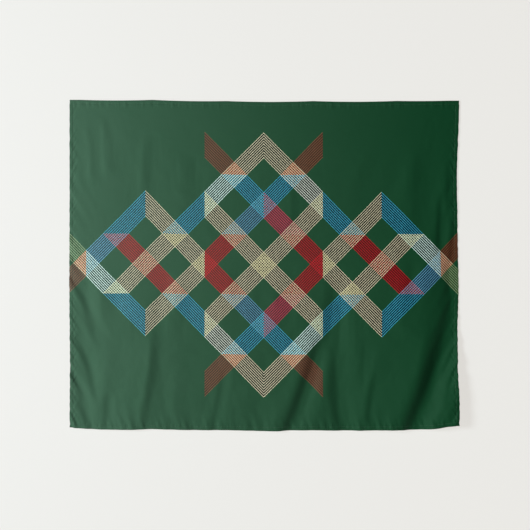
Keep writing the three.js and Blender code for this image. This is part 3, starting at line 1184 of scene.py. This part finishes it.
wall_pads, hook_strips, loop_strips = [], [], []
for number in STRIPS:
    low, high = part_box(f"wall_pad_{number}")
    pad_front = low.y, high.y - 0.02 * MM
    wall_pads.append(slab(f"foam_pad_{number}", low, high, *pad_front, adhesive_foam))
    hook_strips.append(hook_strip(number))
    loop_strips.append(loop_strip(number))
print("faces of a hook strip", len(hook_strips[0].data.polygons))
print("faces of a loop strip", len(loop_strips[0].data.polygons))

# %% [markdown]
# The room is only what the cloth needs: a wall that it hangs on and a pale floor. The wall is a
# backdrop with a soft light of its own, so shadows on it stay faint. It is one-sided: its material
# is clear from behind, so the back of the hanging can be looked at as well.

# %% Wall and floor
WALL_REACH, FLOOR_REACH = 4.0, 8.0
WALL_BEHIND = 0.4 * MM  # the painted face is this far behind the plane of the pads' backs
FLOOR_LEVEL = -1.85
WALL_COLOUR, WALL_GLOW = (0.155, 0.175, 0.18, 1), (0.662, 0.638, 0.604, 1)
WALL_TILT = 0.04  # the wall's painted glow grows by this share for each metre to the right, to even out the window light's falloff
FLOOR_COLOUR, FLOOR_GLOW = (0.42, 0.41, 0.4, 1), (0.3, 0.295, 0.285, 1)


def backdrop(name, corners, material):
    made = add_mesh(name, corners, [(0, 1, 2, 3)], [material], smooth=False)
    return made


paint = Recipe("painted_wall")
paint.set(Base_Color=WALL_COLOUR, Roughness=0.95, Specular_IOR_Level=0.1)
spot = paint.node("ShaderNodeNewGeometry")
wall_place = paint.node("ShaderNodeSeparateXYZ", Vector=spot.outputs["Position"])
# painted light: the wall's glow is brighter to the right, against the window light's falloff
toward_right = Value(paint, wall_place.outputs[0]) * WALL_TILT + 1.0
glow = paint.mix(1.0, WALL_GLOW, toward_right.socket, "MULTIPLY")
paint.set(Emission_Color=glow, Emission_Strength=1.0)
clear = paint.node("ShaderNodeBsdfTransparent")
one_sided = paint.node("ShaderNodeMixShader", Fac=spot.outputs["Backfacing"])
paint.feed(one_sided.inputs[1], paint.shader.outputs[0])
paint.feed(one_sided.inputs[2], clear.outputs[0])
paint.feed(paint.tree.nodes["Material Output"].inputs[0], one_sided.outputs[0])
outline = ((-1, -1), (1, -1), (1, 1), (-1, 1))
wall_corners = [(x * WALL_REACH, WALL_BEHIND, FLOOR_LEVEL if z < 0 else WALL_REACH) for x, z in outline]
backdrop("wall", wall_corners, paint.material)

boards = Recipe("pale_floor")
boards.set(Base_Color=FLOOR_COLOUR, Roughness=0.8, Specular_IOR_Level=0.2)
boards.set(Emission_Color=FLOOR_GLOW, Emission_Strength=1.0)
floor_corners = [(x * FLOOR_REACH, y * FLOOR_REACH, FLOOR_LEVEL) for x, y in outline]
backdrop("floor", floor_corners, boards.material)
print("wall and floor ready")

# %% [markdown]
# One broad soft light stands to the left, as a window would, a little nearer to the left edge than
# to the right. It rakes over the folds, and with the painted sheen in the cloth's colour it makes
# the left side paler. A second one lights the cloth's back, and the room itself gives very little.

# %% Lights
WINDOW_PLACE, WINDOW_SIZE, WINDOW_POWER = (-4.2, -3.95, -0.1), 1.6, 430
BACK_PLACE, BACK_SIZE, BACK_POWER = (1.6, 3.4, 1.2), 2.5, 90
ROOM_LIGHT = 0.05
ROOM_TONE = 0.8  # how bright the room looks to the camera past the wall's edge


def soft_light(name, place, size, power):
    """A square area light that points at the middle of the cloth."""
    lamp = bpy.data.lights.new(name, "AREA")
    lamp.size, lamp.energy = size, power
    made = put(name, lamp)
    made.location = place
    aim = Vector((0, 0, -CLOTH_DROP / 2)) - Vector(place)
    made.rotation_euler = aim.to_track_quat("-Z", "Y").to_euler()


soft_light("window_light", WINDOW_PLACE, WINDOW_SIZE, WINDOW_POWER)
soft_light("back_light", BACK_PLACE, BACK_SIZE, BACK_POWER)
room = bpy.data.worlds.new("room")
scene.world = room
room.use_nodes = True
air = room.node_tree.nodes["Background"]
air.inputs["Color"].default_value = (1, 0.99, 0.97, 1)
ray = room.node_tree.nodes.new("ShaderNodeLightPath")
glow = room.node_tree.nodes.new("ShaderNodeMapRange")
glow.inputs["To Min"].default_value = ROOM_LIGHT
glow.inputs["To Max"].default_value = ROOM_TONE
room.node_tree.links.new(ray.outputs["Is Camera Ray"], glow.inputs["Value"])
room.node_tree.links.new(glow.outputs[0], air.inputs["Strength"])
scene.view_settings.view_transform = "Standard"
print("lights ready")

# %% [markdown]
# Last, each piece takes the place of its CAD solid and is told what it moves with. The top hem and
# its loop tapes are the header, which slides off the wall strips. Below it the cloth is a curtain
# that can swing out. The pieces that cross from one to the other get no body: their places are baked
# in.


def dress(piece, node, body):
    """A piece replaces a CAD node and rides on a body, or keeps its place in the world with no body."""
    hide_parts(node)
    if body == "bends":
        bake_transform(piece)
    else:
        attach(piece, body)


body_of = {"top": "header", "bottom": "curtain", "left": "bends", "right": "bends"}
dress(panel, "cloth_panel", "bends")
for side, body in body_of.items():
    dress(hems[side], f"hem_{side}", body)
    dress(needle_rows[side], f"needle_thread_{side}", body)
    dress(bobbin_rows[side], f"bobbin_thread_{side}", body)
dress(label, "care_label", "curtain")
dress(label_stitches, "label_stitch", "curtain")
for number, pad, hook, loop in zip(STRIPS, wall_pads, hook_strips, loop_strips):
    dress(pad, f"wall_pad_{number}", "wall_strips")
    dress(hook, f"hook_strip_{number}", "wall_strips")
    dress(loop, f"loop_strip_{number}", "header")
